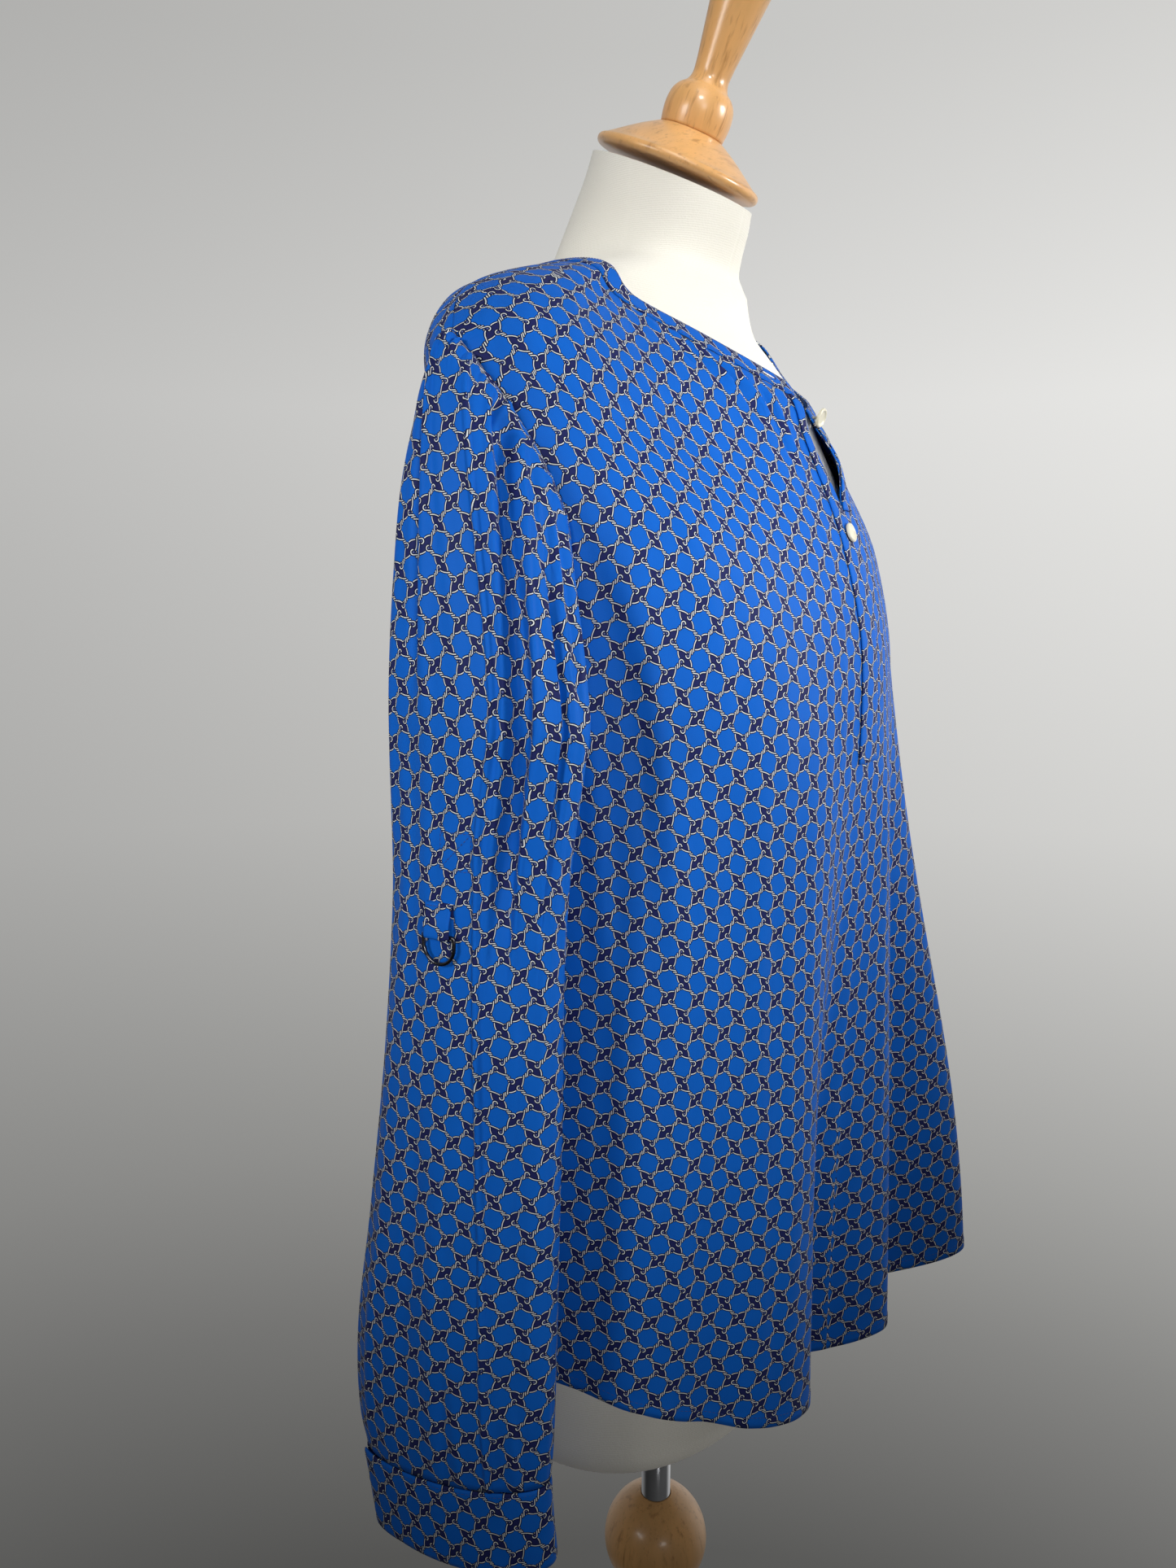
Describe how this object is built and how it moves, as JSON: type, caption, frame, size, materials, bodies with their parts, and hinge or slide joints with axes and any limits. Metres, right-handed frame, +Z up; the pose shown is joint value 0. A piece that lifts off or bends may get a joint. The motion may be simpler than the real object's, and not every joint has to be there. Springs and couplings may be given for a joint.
{
  "type": "silk blouse on dress form",
  "caption": "Long-sleeved silk blouse with a slit neck, narrow band, flared shirt-tail hem and ringed sleeve tabs, worn by a padded dress form on a turned wooden stand.",
  "frame": {"origin": "on the floor, on the axis of the stand's pole", "axes": "+Z up along the pole, -Y the front of the blouse, -X the wearer's right"},
  "size_m": [0.478, 0.37, 1.6216],
  "materials": {
    "printed_silk": "soft sheen, blue and navy rope trellis print",
    "cream_jersey": "matt stretched jersey",
    "beech": "clear satin varnish",
    "chrome": "polished",
    "gunmetal": "dark plated",
    "cream_shell": "polished"
  },
  "bodies": {
    "garment_and_form": {"blouse_front": "printed_silk", "blouse_back": "printed_silk", "neckband": "printed_silk", "placket_right": "printed_silk", "placket_left": "printed_silk", "sleeve_right": "printed_silk", "sleeve_left": "printed_silk", "cuff_right": "printed_silk", "cuff_left": "printed_silk", "tab_right": "printed_silk", "tab_left": "printed_silk", "form_torso": "cream_jersey", "neck_cap": "beech", "finial": "beech", "pole": "chrome", "column": "beech", "base": "beech", "button_neck": "cream_shell", "button_placket": "cream_shell", "button_cuff_right": "cream_shell", "button_cuff_left": "cream_shell"},
    "ring_right": {"d_ring_right": "gunmetal"},
    "ring_left": {"d_ring_left": "gunmetal"}
  },
  "joints": [
    {"name": "ring_swing_right", "type": "hinge", "parent": "garment_and_form", "child": "ring_right", "pos_m": [-0.2362, 0.00244, 1.06749], "axis": [0.034, 0.9994, 0], "range_deg": [0, 150]},
    {"name": "ring_swing_left", "type": "hinge", "parent": "garment_and_form", "child": "ring_left", "pos_m": [0.2362, 0.00244, 1.06749], "axis": [0.034, -0.9994, 0], "range_deg": [0, 150]}
  ]
}
